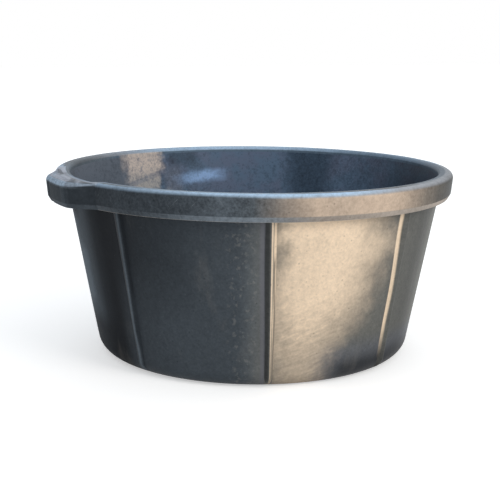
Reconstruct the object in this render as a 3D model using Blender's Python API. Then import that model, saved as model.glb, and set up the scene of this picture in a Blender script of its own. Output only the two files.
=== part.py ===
"""Rubber feed pan for livestock, built up in layers the way a press-moulded, cord-reinforced pan is laid up.

Frame: metres, +Z up. The origin is the centre of the underside, on the ground, and -X points at the grip lug.
A lining forms the bowl's inside. Cord plies lie behind it in the wall and the floor. A rubber cover makes the
outside of the wall and turns in under the floor round a base disc. A deep rim band caps the edges of all the
wall's layers, and carries one grip lug. Eight ribs stiffen the wall below the band.
"""

import math

import bmesh
import bpy

# Outside form
RIM_RADIUS = 0.310
PAN_HEIGHT = 0.287
WALL_TOP_RADIUS = 0.289      # outside of the wall where it goes up behind the rim band
FOOT_RADIUS = 0.2427         # where the wall's outside line, drawn on down, meets the ground
BASE_CORNER = 0.028          # rounding between the wall and the underside

# Rim band
BAND_FACE = 0.0312           # height of the band's outside face, rounding included
BAND_TAPER = 0.0022          # how far that face leans in from top to bottom
CHAMFER_IN = 0.0044
CHAMFER_DROP = 0.0073
RIM_OUTER_ROUND = 0.009
RIM_INNER_ROUND = 0.007
RIM_CAP = 0.0087             # rubber above the ends of the wall's layers

# Layers of the wall and the floor, from outside to inside
COVER = 0.0034
PLY = 0.0012
LINER = 0.0028
SEAT = 0.0003                # clearance between pieces that touch
COVER_TURN_IN = 0.206        # radius at which the cover ends under the floor
PLY_TURN_IN = 0.196          # radius at which the wall's cord ply ends under the floor

# Ribs
RIB_COUNT = 8
RIB_FIRST = math.radians(22.5)
RIB_TOP_WIDTH = 0.016
RIB_FOOT_WIDTH = 0.0125
RIB_HEIGHT = 0.0045
RIB_CROWN = 0.0004           # how much the rib's top bulges between its two shoulders
RIB_FLANK = 0.32             # share of the width that each sloping side takes
RIB_END = math.radians(20)   # how far round the base corner a rib goes, from straight down
RIB_END_SCALE = 0.18         # what is left of the rib's height and width there

# Grip lug, in angles measured round the rim from -X
LUG_PROUD = 0.0225           # how far it stands out of the band at -X
LUG_SLANT = 0.020            # how much further out it goes with each radian towards its short end
LUG_LEAST = 0.0012           # thickness that its two feathered ends keep
LUG_SHORT_END = (math.radians(18), math.radians(9.5))
LUG_LONG_END = (math.radians(-19.5), math.radians(-3))
LUG_LIP_ANGLE = math.radians(42)   # where on the band's rounding the lug's top begins
LUG_DISH = 0.0012            # hollow along the middle of the lug's top
RIM_DIP = 0.0037             # how far the rim's top sinks beside the lug
DIP_FADE = (0.306, 0.330)    # radii between which the dip dies away

SEGMENTS = 80                # sides of every turned piece; a corner lies on each rib's middle
CORNER_STEPS = 5
ROUND_STEPS = 4
FACET = 2 * math.pi / SEGMENTS
LUG_STEP = FACET / 3
SMOOTH_LIMIT = math.radians(35)

# Worked out from the above
BAND_FOOT = PAN_HEIGHT - BAND_FACE - CHAMFER_DROP
WALL_TOP = PAN_HEIGHT - RIM_CAP - SEAT
DRAFT = math.atan((WALL_TOP_RADIUS - FOOT_RADIUS) / BAND_FOOT)
CORNER_TURN = math.pi / 2 - DRAFT
CORNER_RADIUS_AT = FOOT_RADIUS - BASE_CORNER * math.tan(CORNER_TURN / 2)
PLY_DEPTH = COVER + SEAT
LINER_DEPTH = PLY_DEPTH + PLY + SEAT
WALL_THICKNESS = LINER_DEPTH + LINER


def ease(low, high, value):
    """0 at low, 1 at high, with a level start and finish."""
    t = min(max((value - low) / (high - low), 0.0), 1.0)
    return t * t * (3 - 2 * t)


def wall_radius(z, depth=0.0):
    """Radius of the straight wall at a height, on the surface that lies depth below its outside."""
    return FOOT_RADIUS + z * math.tan(DRAFT) - depth / math.cos(DRAFT)


def corner_point(turn, depth=0.0):
    """Point (radius, height) on the base corner; turn is 0 on the underside and CORNER_TURN at the wall."""
    radius = BASE_CORNER - depth
    return (CORNER_RADIUS_AT + radius * math.sin(turn), BASE_CORNER - radius * math.cos(turn))


def layer_line(depth, start_radius):
    """Line of a layer's surface from start_radius on the floor, round the corner and up to the wall's top."""
    line = [(start_radius, depth)]
    line += [corner_point(CORNER_TURN * i / CORNER_STEPS, depth) for i in range(CORNER_STEPS + 1)]
    line.append((wall_radius(WALL_TOP, depth), WALL_TOP))
    return line


def rounding(centre, radius, start, end):
    """Points of a rounded edge; angles are measured from straight up, outwards."""
    points = []
    for i in range(ROUND_STEPS + 1):
        angle = start + (end - start) * i / ROUND_STEPS
        points.append((centre[0] + radius * math.sin(angle), centre[1] + radius * math.cos(angle)))
    return points


def facet_radius(radius, angle):
    """Distance from the axis to the flat-sided turned surface of a corner radius, at an angle round it."""
    within = angle % FACET
    return radius * math.cos(FACET / 2) / math.cos(within - FACET / 2)


def rubber(name, colour, roughness):
    material = bpy.data.materials.new(name)
    material.use_nodes = True
    shader = material.node_tree.nodes["Principled BSDF"]
    shader.inputs["Base Color"].default_value = (*colour, 1.0)
    shader.inputs["Roughness"].default_value = roughness
    shader.inputs["Metallic"].default_value = 0.0
    return material


def add_object(name, mesh, parent, angle=0.0):
    piece = bpy.data.objects.new(name, mesh)
    piece.rotation_euler.z = angle
    piece.parent = parent
    bpy.context.collection.objects.link(piece)
    return piece


def finish_mesh(name, bm, material):
    """Turn the faces outwards, shade them smooth up to a real edge, and store the mesh."""
    bmesh.ops.recalc_face_normals(bm, faces=bm.faces)
    mesh = bpy.data.meshes.new(name)
    bm.to_mesh(mesh)
    bm.free()
    mesh.shade_smooth()
    mesh.set_sharp_from_angle(angle=SMOOTH_LIMIT)
    mesh.materials.append(material)
    return mesh


def turned(profile, closed):
    """Spin a profile of (radius, height) points about the axis. An open profile has both ends on the axis."""
    bm = bmesh.new()
    verts = [bm.verts.new((r, 0.0, z)) for r, z in profile]
    pairs = list(zip(verts, verts[1:]))
    if closed:
        pairs.append((verts[-1], verts[0]))
    edges = [bm.edges.new(pair) for pair in pairs]
    bmesh.ops.spin(bm, geom=verts + edges, cent=(0, 0, 0), axis=(0, 0, 1), angle=2 * math.pi,
                   steps=SEGMENTS, use_merge=True)
    bmesh.ops.remove_doubles(bm, verts=bm.verts, dist=0.00001)
    return bm


def layer(depth, thickness, start_radius):
    """A layer that runs over the floor from start_radius and up the wall."""
    outside = layer_line(depth, start_radius)
    inside = layer_line(depth + thickness, start_radius)
    return turned(outside + inside[::-1], closed=start_radius > 0)


def disc(radius, low, high):
    return turned([(0, low), (radius, low), (radius, high), (0, high)], closed=False)


def band_outside(proud=0.0):
    """The band's outside below its rounding, or the lug's, which stands proud of it."""
    foot_radius = RIM_RADIUS + proud - BAND_TAPER
    return [(foot_radius, PAN_HEIGHT - BAND_FACE), (foot_radius - CHAMFER_IN, BAND_FOOT)]


def outer_round_centre(proud=0.0):
    return (RIM_RADIUS - RIM_OUTER_ROUND + proud, PAN_HEIGHT - RIM_OUTER_ROUND)


def lug_angle(x, y):
    """Angle round the rim from -X, positive anticlockwise seen from above."""
    return math.atan2(-y, -x)


def lug_share(angle):
    """How much of the lug's full depth is there: 1 along its middle, falling to 0 at both ends."""
    return ease(*LUG_SHORT_END, angle) * ease(*LUG_LONG_END, angle)


def share_on_facet(angle):
    """lug_share, taken in a straight line from corner to corner of the turned band's facets."""
    corner = math.floor(angle / FACET) * FACET
    along = 0.5 + math.tan(angle - corner - FACET / 2) / (2 * math.tan(FACET / 2))
    return lug_share(corner) * (1 - along) + lug_share(corner + FACET) * along


def sink_rim_top(bm):
    """Lower the top of the rim beside the lug, and nothing below the cap."""
    cap_underside = PAN_HEIGHT - RIM_CAP
    for vert in bm.verts:
        x, y, z = vert.co
        if z > cap_underside:
            height_share = (z - cap_underside) / RIM_CAP
            radius_share = 1 - ease(*DIP_FADE, math.hypot(x, y))
            vert.co.z -= RIM_DIP * height_share * radius_share * share_on_facet(lug_angle(x, y))


def rim_band():
    """Deep solid band outside the wall, with a cap over the ends of the wall's layers."""
    cap_underside = PAN_HEIGHT - RIM_CAP
    centre_height = PAN_HEIGHT - RIM_INNER_ROUND
    inner_centre = (wall_radius(centre_height, WALL_THICKNESS - RIM_INNER_ROUND), centre_height)
    profile = [(wall_radius(cap_underside, WALL_THICKNESS), cap_underside)]
    profile += rounding(inner_centre, RIM_INNER_ROUND, -CORNER_TURN, 0.0)
    profile += rounding(outer_round_centre(), RIM_OUTER_ROUND, 0.0, math.pi / 2)
    profile += band_outside()
    profile.append((wall_radius(BAND_FOOT, -SEAT), BAND_FOOT))
    profile.append((wall_radius(cap_underside, -SEAT), cap_underside))
    bm = turned(profile, closed=True)
    sink_rim_top(bm)
    return bm


def lug_section(angle):
    """Outline (radius, height) of the lug in two parts: its side against the band, and its free side."""
    share = lug_share(angle)
    proud = max((LUG_PROUD + LUG_SLANT * angle) * share, LUG_LEAST)
    seat_side = rounding(outer_round_centre(), RIM_OUTER_ROUND + SEAT, LUG_LIP_ANGLE, math.pi / 2)
    seat_side += [(r + SEAT, z) for r, z in band_outside()]
    free_side = rounding(outer_round_centre(proud), RIM_OUTER_ROUND, LUG_LIP_ANGLE, math.pi / 2)
    free_side += band_outside(proud)
    lip = (seat_side[0][0], PAN_HEIGHT - SEAT)
    dish_height = (lip[1] + free_side[0][1]) / 2 - LUG_DISH * share
    dish = ((lip[0] + free_side[0][0]) / 2, dish_height)
    return seat_side, free_side[::-1] + [dish, lip]


def grip_lug():
    """Loft the lug round the rim, from one feathered end to the other."""
    bm = bmesh.new()
    first = round(LUG_LONG_END[0] / LUG_STEP)
    last = round(LUG_SHORT_END[0] / LUG_STEP)
    rings = []
    for i in range(first, last + 1):
        angle = i * LUG_STEP
        heading = math.pi + angle
        seat_side, free_side = lug_section(angle)
        outline = [(facet_radius(r, heading), z) for r, z in seat_side] + free_side
        rings.append([bm.verts.new((r * math.cos(heading), r * math.sin(heading), z)) for r, z in outline])
    join_rings(bm, rings)
    sink_rim_top(bm)
    return bm


def join_rings(bm, rings):
    """Skin a row of matching rings and close both ends."""
    for near, far in zip(rings, rings[1:]):
        count = len(near)
        for i in range(count):
            j = (i + 1) % count
            bm.faces.new((near[i], near[j], far[j], far[i]))
    for ring in (rings[0], rings[-1]):
        cap = bm.faces.new(ring)
        bmesh.ops.triangulate(bm, faces=[cap])


def rib_ring(bm, station, lift, width, height):
    """One cross-section of a rib; lift is the (radius, height) direction that its height goes in."""
    radius, z = station
    shoulder = width * (0.5 - RIB_FLANK)
    outline = [(-width / 2, SEAT), (-shoulder, SEAT + height), (0.0, SEAT + height + RIB_CROWN),
               (shoulder, SEAT + height), (width / 2, SEAT), (0.0, SEAT)]
    ring = []
    for across, up in outline:
        angle = math.asin(across / radius)
        r = facet_radius(radius, angle) + up * lift[0]
        ring.append(bm.verts.new((r * math.cos(angle), r * math.sin(angle), z + up * lift[1])))
    return ring


def wall_rib():
    """A rib at angle 0, from under the band's foot down the wall and round the base corner."""
    bm = bmesh.new()
    top = BAND_FOOT - SEAT
    rings = [rib_ring(bm, (wall_radius(top), top), (1 / math.cos(DRAFT), 0.0), RIB_TOP_WIDTH, RIB_HEIGHT)]
    for i in range(CORNER_STEPS + 1):
        turn = CORNER_TURN + (RIB_END - CORNER_TURN) * i / CORNER_STEPS
        scale = 1 - (1 - RIB_END_SCALE) * ease(0, CORNER_STEPS, i)
        rings.append(rib_ring(bm, corner_point(turn), (math.sin(turn), -math.cos(turn)),
                              RIB_FOOT_WIDTH * (0.5 + scale / 2), RIB_HEIGHT * scale))
    join_rings(bm, rings)
    return bm


def build():
    for old in list(bpy.data.objects):
        bpy.data.objects.remove(old, do_unlink=True)

    pan = bpy.data.objects.new("feed_pan", None)
    bpy.context.collection.objects.link(pan)

    liner_rubber = rubber("liner_rubber", (0.060, 0.066, 0.078), 0.50)
    cover_rubber = rubber("cover_rubber", (0.040, 0.044, 0.050), 0.42)
    base_rubber = rubber("base_rubber", (0.034, 0.036, 0.040), 0.65)
    rim_rubber = rubber("rim_rubber", (0.050, 0.053, 0.060), 0.46)
    lug_rubber = rubber("lug_rubber", (0.055, 0.056, 0.060), 0.50)
    rib_rubber = rubber("rib_rubber", (0.045, 0.048, 0.054), 0.42)
    wall_cord = rubber("wall_cord", (0.420, 0.360, 0.270), 0.90)
    floor_cord = rubber("floor_cord", (0.380, 0.330, 0.250), 0.90)

    solids = {
        "inner_liner": (layer(LINER_DEPTH, LINER, 0.0), liner_rubber),
        "wall_cord_ply": (layer(PLY_DEPTH, PLY, PLY_TURN_IN), wall_cord),
        "floor_cord_ply": (disc(PLY_TURN_IN - SEAT, PLY_DEPTH, PLY_DEPTH + PLY), floor_cord),
        "outer_cover": (layer(0.0, COVER, COVER_TURN_IN), cover_rubber),
        "base_disc": (disc(COVER_TURN_IN - SEAT, 0.0, COVER), base_rubber),
        "rim_band": (rim_band(), rim_rubber),
        "grip_lug": (grip_lug(), lug_rubber),
    }
    for name, (bm, material) in solids.items():
        add_object(name, finish_mesh(name, bm, material), pan)

    rib_mesh = finish_mesh("wall_rib", wall_rib(), rib_rubber)
    for i in range(RIB_COUNT):
        add_object(f"wall_rib_{i + 1}", rib_mesh, pan, RIB_FIRST + i * 2 * math.pi / RIB_COUNT)


build()
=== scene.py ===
"""Looks of the rubber feed pan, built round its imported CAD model.

The visible pieces are finer copies of the CAD nodes' forms, in the same frame: metres, +Z up, the grip lug at -X.
"Azimuth" is an angle round the pan, 0 at the side the photograph is taken from and positive to the right of it.
"""
import math

import bmesh
import bpy
from mathutils import Matrix, Vector, noise


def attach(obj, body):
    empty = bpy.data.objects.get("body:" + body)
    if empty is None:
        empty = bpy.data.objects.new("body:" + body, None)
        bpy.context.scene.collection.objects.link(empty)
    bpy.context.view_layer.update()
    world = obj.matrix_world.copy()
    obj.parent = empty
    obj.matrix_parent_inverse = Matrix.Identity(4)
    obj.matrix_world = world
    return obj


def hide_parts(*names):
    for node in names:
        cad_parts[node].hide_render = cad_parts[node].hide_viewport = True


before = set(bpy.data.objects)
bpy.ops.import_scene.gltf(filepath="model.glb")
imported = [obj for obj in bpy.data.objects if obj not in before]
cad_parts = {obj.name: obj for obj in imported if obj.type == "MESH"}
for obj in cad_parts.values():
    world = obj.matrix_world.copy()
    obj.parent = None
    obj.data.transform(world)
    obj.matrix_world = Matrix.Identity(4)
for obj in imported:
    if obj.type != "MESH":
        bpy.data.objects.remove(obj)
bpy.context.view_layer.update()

# The pan's form, as in the CAD source; lengths are in metres
RIM_RADIUS = 0.310
PAN_HEIGHT = 0.287
WALL_TOP_RADIUS = 0.289                # outside of the wall where it goes up behind the rim band
FOOT_RADIUS = 0.2427                   # where the wall's outside line, drawn on down, meets the ground
BASE_CORNER = 0.028
BAND_FACE = 0.0312
BAND_TAPER = 0.0022
CHAMFER_IN = 0.0044
CHAMFER_DROP = 0.0073
RIM_OUTER_ROUND = 0.009
RIM_INNER_ROUND = 0.007
RIM_CAP = 0.0087                       # rubber above the ends of the wall's layers
COVER = 0.0034
PLY = 0.0012
LINER = 0.0028
SEAT = 0.0003
COVER_TURN_IN = 0.206
RIB_COUNT = 8
RIB_FIRST = 22.5
RIB_HEIGHT = 0.0045
RIB_CROWN = 0.0004
RIB_END = math.radians(20)             # how far round the base corner a rib goes, from straight down
LUG_PROUD = 0.0225
LUG_SLANT = 0.020                      # how much further out it goes with each radian towards its short end
LUG_LONG_END = (math.radians(-19.5), math.radians(-3))
RIM_DIP = 0.0037                       # how far the rim's top sinks beside the lug
DIP_FADE = (0.306, 0.330)

BAND_FOOT = PAN_HEIGHT - BAND_FACE - CHAMFER_DROP
CAP_UNDERSIDE = PAN_HEIGHT - RIM_CAP
DRAFT = math.atan((WALL_TOP_RADIUS - FOOT_RADIUS) / BAND_FOOT)
CORNER_TURN = math.pi / 2 - DRAFT
CORNER_CENTRE = FOOT_RADIUS - BASE_CORNER * math.tan(CORNER_TURN / 2)
LINER_DEPTH = COVER + SEAT + PLY + SEAT
WALL_THICKNESS = LINER_DEPTH + LINER

# The ribs' finer form; shares are of a rib's width
RIB_TOP_WIDTH = 0.0174
RIB_FOOT_WIDTH = 0.0126
RIB_TIP_WIDTH = 0.55                   # share of the foot's width that the lower end keeps
RIB_OFFSET = 0.04
RIB_CROWN_PLACE = (0.095, 0.19)        # middle and reach
RIB_LEFT_FLANK, RIB_LEFT_ROUND = 0.40, 0.14
RIB_RIGHT_FLANK, RIB_RIGHT_ROUND = 0.21, 0.22
RIB_SPAN = 1.14                        # width with the edges that lie inside the wall
RIB_EDGE = 0.55                        # where these edges begin, from the rib's middle
RIB_SINK, RIB_EDGE_SINK, RIB_TIP_SINK = 0.00035, 0.0006, 0.0004
RIB_ROOT = 0.0016                      # how deep the hidden side lies in the wall
RIB_SHIFTS = (0.3, -0.4, 0.2, -0.3, -0.8, -0.05, -0.8, 0.2)    # degrees round the pan, at the top
RIB_LEANS = (0.3, 0.6, -0.3, 0.5, 0.3, 0.8, 1.1, -0.2)         # degrees more at the foot
RIB_RELIEFS = (1.0, 1.0, 1.0, 0.35, 1.0, 1.0, 1.0, 1.0)        # shares of the full height

# The band's and the lug's finer form; the lug's angles run from -X, counter-clockwise seen from above
BAND_EDGE_ROUND = 0.0012
BAND_FOOT_ROUND = 0.0007
BAND_LEDGE = 0.006
LUG_SPAN = (math.radians(-21), math.radians(19.5))
LUG_SHORT_RAMP = (math.radians(17.2), math.radians(10.2))
LUG_RAMP_ROUND = 0.16
LUG_FEATHER = (0.0, 0.08)              # shares of the full form over which its ends come out of the band
LUG_HIDDEN_TOP = (0.2985, PAN_HEIGHT - 0.006)
LUG_HIDDEN_SIDE = [(0.300, BAND_FOOT + 0.001), (0.300, PAN_HEIGHT - 0.012)]
LUG_ROOT_FADE = (0.297, 0.3005)
LUG_ROOT_SINK = 0.00008
LUG_TOP_RADIUS = 0.301
LUG_DISH = 0.0017
LUG_DISH_START, LUG_DISH_END = (0.05, 0.34), (1.0, 0.72)
LUG_DENT = (math.radians(-9.5), 0.3025, 0.0022)     # angle, radius and depth
LUG_DENT_SPREAD = (0.032, 0.0042)
LUG_NICK = (math.radians(-1.2), 0.0018)             # angle and depth
LUG_NICK_SPREAD = 0.010
LUG_NICK_FADE = (0.55, 0.95)
LUG_NICK_DROP = 0.5

# Fineness of the visible meshes
SIDES = 360
CORNER_STEPS = 14
WALL_ROWS = 36
FLOOR_ROWS = 16
HIDDEN_STEPS = 5
TURN_IN_STEPS = 3
CREST_STEPS = 3
OUTER_ROUND_STEPS = 12
INNER_ROUND_STEPS = 10
FACE_STEPS = 6
EDGE_STEPS = 4
LUG_STEP = math.radians(0.5)
LUG_TOP_STEPS = 12
RIB_ROWS = 14
RIB_SAMPLES = 28
SMOOTH_LIMIT = math.radians(38)
EMBED = 0.0008                         # how deep hidden edges lie in their neighbours
TINY = 1e-9
MERGE = 1e-7

# Unevenness of moulded rubber, and where it fades away
WAVE_DEPTH = 0.0005
WAVES = ((7, 5, 0.42, 0), (22, 16, 0.16, 9))        # scale across and up, share and shift
LINER_WAVE_AT = 3                      # the lining and the rim's top read the waves elsewhere
TOP_WAVE_AT = 4.0
BAND_FADE = (0.300, 0.307)
COVER_FADE = (0.006, 0.05)
LINER_FOOT_FADE = (0.02, 0.05)
LINER_TOP_FADE = 0.03
FLOOR_FADE = (0.01, 0.02)
AXIS_FADE = (0.0, 0.03)

# Colours of the rubber, its thin bloom, its rubbed edges and its dust, and of the cord fabric, with painted sunlight,
# sky sheen, highlights and reflections among them
RUBBER = (0.0040, 0.0052, 0.0075)
BLOOM = (0.112, 0.134, 0.156)
PALE_BLOOM = (0.160, 0.160, 0.148)
# bloom in the painted shade at the foot
FOOT_SHADE_BLOOM = (0.135, 0.143, 0.158)
# a painted highlight
LINE_HIGHLIGHT = (0.155, 0.157, 0.178)
# blue tints of bloom on the rim's inner side, painted sky reflection
BACK_LINING, LEFT_LINING = (0.112, 0.162, 0.222), (0.155, 0.192, 0.226)
# blue tints of bloom inside, painted sky reflection
LINER_BLUE, LINER_CLOUD = (0.106, 0.164, 0.244), (0.120, 0.155, 0.230)
LINER_LEFT, LINER_DARK, LINER_PALE = (0.122, 0.144, 0.178), (0.088, 0.142, 0.218), (0.150, 0.182, 0.245)
# a painted sheen
SHEEN = (0.30, 0.46, 0.74)
# wear on the rim's edges, its pale blue a painted sky sheen
WORN_EDGE_AND_SKY_SHEEN = (0.49, 0.67, 0.88)
# the same wear with a greyer painted sheen
WORN_EDGE_AND_GREY_SHEEN = (0.38, 0.40, 0.44)
# the lug's worn top, and wear with painted sky sheen on its rounded edge
LUG_WORN, LUG_ROUND_WEAR_AND_SHEEN = (0.39, 0.42, 0.49), (0.35, 0.46, 0.58)
# the chamfer's wear with painted reflected light, and its warm tone under painted sunlight
CHAMFER_WEAR_AND_SHEEN, CHAMFER_DUST_AND_SUNLIGHT = (0.35, 0.41, 0.47), (0.45, 0.39, 0.34)
# painted reflected light on the band's underside
FOOT_LINE_SHEEN = (0.50, 0.46, 0.42)
SCRATCH = (0.45, 0.48, 0.52)
SCUFF = (0.50, 0.47, 0.42)
FLECK = (0.30, 0.30, 0.29)
# dust tone under painted sunlight
DUST_AND_SUNLIGHT = (0.93, 0.735, 0.54)
# dust tone under painted sunlight on the band
BAND_DUST_AND_SUNLIGHT = (0.94, 0.715, 0.54)
# a painted warm reflection, mottled like dust
WARM_REFLECTION_LOW, WARM_REFLECTION_HIGH = (0.42, 0.40, 0.385), (0.62, 0.53, 0.47)
WALL_CORD, FLOOR_CORD = (0.34, 0.28, 0.20), (0.32, 0.27, 0.20)

# Fine relief and grain of the rubber and of the cord fabric
FINE_SCALE, GRIT_SCALE, MOTTLE_SCALE, SLOW_SCALE = 560, 270, 105, 12
PIT_SCALE, FLECK_SCALE = 115, 230
CORD_SCALE, FUZZ_SCALE = 160, 300
FINE_RELIEF, MOTTLE_RELIEF, CORD_RELIEF = 0.0001, 0.0003, 0.0003
NOISE_ROUGHNESS = 0.55
ROUGHEST = 0.92
METRES_A_DEGREE = 0.0049               # round the upper wall

# Camera
PHOTO_PIXELS = 500
FOCAL_PIXELS = 1106.04
SENSOR = 36.0
VIEW_TURN = math.radians(-27)          # the part's frame, turned from the camera's
CAMERA_BACK = 1.7376
CAMERA_HEIGHT = 0.4984
PITCH = math.radians(11.294)
YAW = math.radians(-0.166)
ROLL = math.radians(0.557)

# Light; a lamp has a place and a size in the camera's frame, a radiance and a colour
WORLD_LIGHT = 0.72
WORLD_COLOUR = (0.94, 0.97, 1.0, 1.0)
FLOOR_GLOW = 0.45
FLOOR_COLOUR = (0.84, 0.84, 0.84, 1.0)
FLOOR_HALF = 12.0
LAMP_AIM = (0.0, 0.0, 0.15)
LAMPS = {"sky_behind": ((0.0, 3.2, 1.5), (3.4, 1.3), 1.2, (0.72, 0.86, 1.0)),
         "key_right": ((2.2, -2.0, 1.9), (1.6, 1.6), 5.2, (1.0, 0.96, 0.90))}


def ease(low, high, value):
    t = min(max((value - low) / (high - low), 0.0), 1.0)
    return t * t * (3 - 2 * t)


def wall_radius(z, depth=0.0):
    return FOOT_RADIUS + z * math.tan(DRAFT) - depth / math.cos(DRAFT)


def corner_point(turn, depth=0.0):
    radius = BASE_CORNER - depth
    return (CORNER_CENTRE + radius * math.sin(turn), BASE_CORNER - radius * math.cos(turn))


def between(start, end, count):
    """count points from start towards end, start included and end left out."""
    return [tuple(a + (b - a) * i / count for a, b in zip(start, end)) for i in range(count)]


def rounding(centre, radius, start, end, steps):
    points = []
    for i in range(steps + 1):
        angle = start + (end - start) * i / steps
        points.append((centre[0] + radius * math.sin(angle), centre[1] + radius * math.cos(angle)))
    return points


def soften(before, corner, after, radius):
    """A small rounding in place of a corner of a profile."""
    corner = Vector(corner)
    start = corner + (Vector(before) - corner).normalized() * radius
    end = corner + (Vector(after) - corner).normalized() * radius
    points = []
    for i in range(EDGE_STEPS + 1):
        t = i / EDGE_STEPS
        points.append(tuple(start * (1 - t) ** 2 + corner * 2 * t * (1 - t) + end * t * t))
    return points


def wave(x, y, z):
    """Slow unevenness, from 0 to 1."""
    level = 0.5
    for across, up, share, shift in WAVES:
        level += share * noise.noise(Vector((x * across + shift, y * across, z * up)))
    return min(max(level, 0.0), 1.0)


def soft_ramp(t, share):
    """0 below 0 and 1 above 1, straight between, with a share of it rounded at each corner."""
    def area(s):
        if s <= 0:
            return 0.0
        return s * s / 2 if s < 1 else s - 0.5
    return (area(t + share) - area(t - share)) / (2 * share)


def lug_share(angle):
    start, end = LUG_SHORT_RAMP
    return soft_ramp((start - angle) / (start - end), LUG_RAMP_ROUND) * ease(*LUG_LONG_END, angle)


def dent(radius, lug_angle):
    """A shallow dent in the top, where the lug's long end begins."""
    angle, middle, depth = LUG_DENT
    along, across = LUG_DENT_SPREAD
    return depth * math.exp(-((lug_angle - angle) / along) ** 2 - ((radius - middle) / across) ** 2)


def rim_sink(radius, z, lug_angle):
    """How far the rim's top lies lower beside the lug."""
    height_share = max((z - CAP_UNDERSIDE) / RIM_CAP, 0.0)
    return RIM_DIP * height_share * (1 - ease(*DIP_FADE, radius)) * lug_share(lug_angle)


def link_piece(name, bm, material, nodes):
    """Store a mesh as a visible piece that stands for CAD nodes."""
    bmesh.ops.recalc_face_normals(bm, faces=bm.faces)
    mesh = bpy.data.meshes.new(name)
    bm.to_mesh(mesh)
    bm.free()
    mesh.shade_smooth()
    mesh.set_sharp_from_angle(angle=SMOOTH_LIMIT)
    mesh.materials.append(material)
    piece = bpy.data.objects.new(name, mesh)
    bpy.context.scene.collection.objects.link(piece)
    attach(piece, "root")
    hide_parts(*nodes)


def turned(profile, shape):
    """Turn a closed profile of (radius, height) about the axis; shape moves each point of it at each angle."""
    bm = bmesh.new()
    rings = []
    for i in range(SIDES):
        angle = 2 * math.pi * i / SIDES
        ring = []
        for r, z in profile:
            r, z = shape(r, z, angle)
            ring.append(bm.verts.new((r * math.cos(angle), r * math.sin(angle), z)))
        rings.append(ring)
    count = len(profile)
    on_axis = [abs(r) < TINY for r, z in profile]
    for i in range(SIDES):
        near, far = rings[i], rings[(i + 1) % SIDES]
        for j in range(count):
            k = (j + 1) % count
            if not (on_axis[j] and on_axis[k]):
                bm.faces.new((near[j], near[k], far[k], far[j]))
    if any(on_axis):
        bmesh.ops.remove_doubles(bm, verts=bm.verts, dist=MERGE)
    return bm


def loft(rings):
    """Skin matching rings of points and close both ends."""
    bm = bmesh.new()
    rows = [[bm.verts.new(p) for p in ring] for ring in rings]
    count = len(rows[0])
    for near, far in zip(rows, rows[1:]):
        for i in range(count):
            j = (i + 1) % count
            bm.faces.new((near[i], near[j], far[j], far[i]))
    bm.faces.new(rows[0])
    bm.faces.new(rows[-1])
    return bm


def cover_mesh():
    outside = between((COVER_TURN_IN, 0.0), corner_point(0.0), TURN_IN_STEPS)
    outside += [corner_point(CORNER_TURN * i / CORNER_STEPS) for i in range(CORNER_STEPS)]
    foot = corner_point(CORNER_TURN)
    outside += between(foot, (wall_radius(CAP_UNDERSIDE), CAP_UNDERSIDE), WALL_ROWS)
    inside = [(wall_radius(CAP_UNDERSIDE), CAP_UNDERSIDE), (wall_radius(CAP_UNDERSIDE, COVER), CAP_UNDERSIDE)]
    inside += [corner_point(CORNER_TURN * (1 - i / HIDDEN_STEPS), COVER) for i in range(HIDDEN_STEPS + 1)]
    inside.append((COVER_TURN_IN, COVER))
    hidden = set(inside[1:])

    def shape(r, z, angle):
        if (r, z) in hidden:
            return r, z
        depth = WAVE_DEPTH * wave(r * math.cos(angle), r * math.sin(angle), z) * ease(*COVER_FADE, z)
        return r - depth, z

    return turned(outside + inside, shape)


def liner_mesh():
    top = CAP_UNDERSIDE
    inside = between((0.0, WALL_THICKNESS), corner_point(0.0, WALL_THICKNESS), FLOOR_ROWS)
    inside += [corner_point(CORNER_TURN * i / CORNER_STEPS, WALL_THICKNESS) for i in range(CORNER_STEPS)]
    foot = corner_point(CORNER_TURN, WALL_THICKNESS)
    inside += between(foot, (wall_radius(top, WALL_THICKNESS), top), WALL_ROWS)
    outside = [(wall_radius(top, WALL_THICKNESS), top), (wall_radius(top, LINER_DEPTH), top)]
    outside += [corner_point(CORNER_TURN * (1 - i / HIDDEN_STEPS), LINER_DEPTH) for i in range(HIDDEN_STEPS + 1)]
    outside.append((0.0, LINER_DEPTH))
    hidden = set(outside)

    def shape(r, z, angle):
        if (r, z) in hidden or r < TINY:
            return r, z
        depth = WAVE_DEPTH * wave(r * math.cos(angle) + LINER_WAVE_AT, r * math.sin(angle), z)
        wall = ease(*LINER_FOOT_FADE, z) * (1 - ease(top - LINER_TOP_FADE, top, z))
        floor = (1 - ease(*FLOOR_FADE, z)) * ease(*AXIS_FADE, r)
        return r - depth * wall, z + depth * floor

    return turned(inside + outside, shape)


def outer_round_centre(proud=0.0):
    return (RIM_RADIUS - RIM_OUTER_ROUND + proud, PAN_HEIGHT - RIM_OUTER_ROUND)


def band_side(proud=0.0):
    """Band's face, chamfer and foot, outside to inside, with its edges softened."""
    foot_radius = RIM_RADIUS - BAND_TAPER + proud
    top = (RIM_RADIUS + proud, PAN_HEIGHT - RIM_OUTER_ROUND)
    edge = (foot_radius, PAN_HEIGHT - BAND_FACE)
    foot = (foot_radius - CHAMFER_IN, BAND_FOOT)
    back = (foot[0] - BAND_LEDGE, BAND_FOOT)
    points = between(top, edge, FACE_STEPS)[1:-1]
    points += soften(top, edge, foot, BAND_EDGE_ROUND)
    points += soften(edge, foot, back, BAND_FOOT_ROUND)
    return points


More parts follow.
